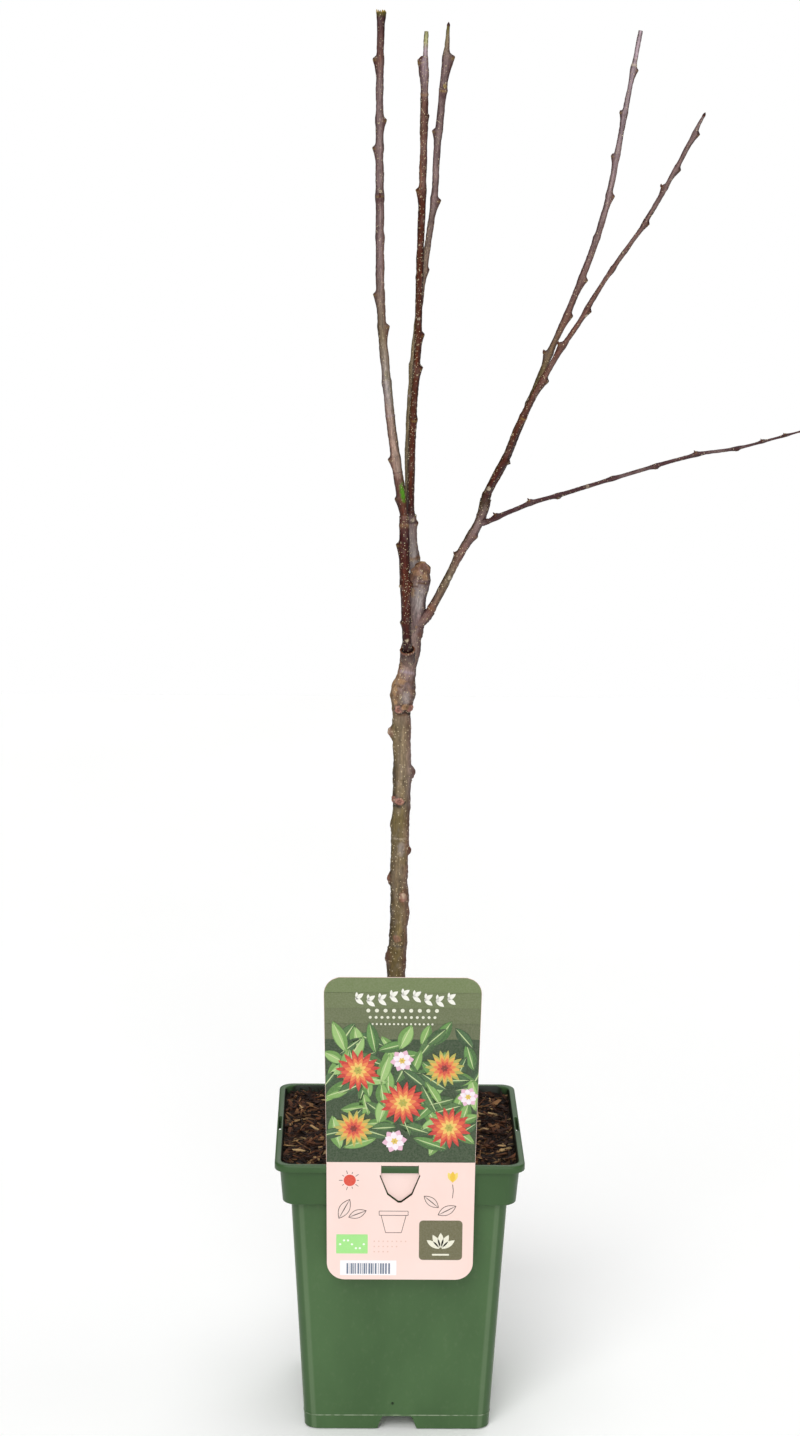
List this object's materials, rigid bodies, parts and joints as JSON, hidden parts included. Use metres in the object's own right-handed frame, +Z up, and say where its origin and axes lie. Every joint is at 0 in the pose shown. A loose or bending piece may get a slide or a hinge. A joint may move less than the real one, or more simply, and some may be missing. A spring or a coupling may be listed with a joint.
{
  "type": "potted elstar apple tree",
  "caption": "Young pruned apple tree with bare forked shoots, standing in a square tapered nursery pot of soil with a hanging card.",
  "frame": {"origin": "on the ground under the middle of the pot, on the pot's flat underside", "axes": "+Z up along the trunk, -Y towards the side where the card hangs, +X to the right as the card is read"},
  "size_m": [0.3804, 0.2004, 1.0779],
  "materials": {
    "pot": "satin",
    "soil": "matte",
    "label": "satin",
    "trunk_bark": "matte",
    "bough_bark": "satin",
    "shoot_bark": "satin"
  },
  "bodies": {
    "root": {"pot": "pot", "soil": "soil", "label": "label", "trunk": "trunk_bark", "front_shoot": "shoot_bark", "left_shoot": "shoot_bark", "rear_bough": "bough_bark", "centre_shoot": "shoot_bark", "crossing_shoot": "shoot_bark", "right_bough": "bough_bark", "right_inner_shoot": "shoot_bark", "right_outer_shoot": "shoot_bark", "side_twig": "shoot_bark"}
  },
  "joints": []
}
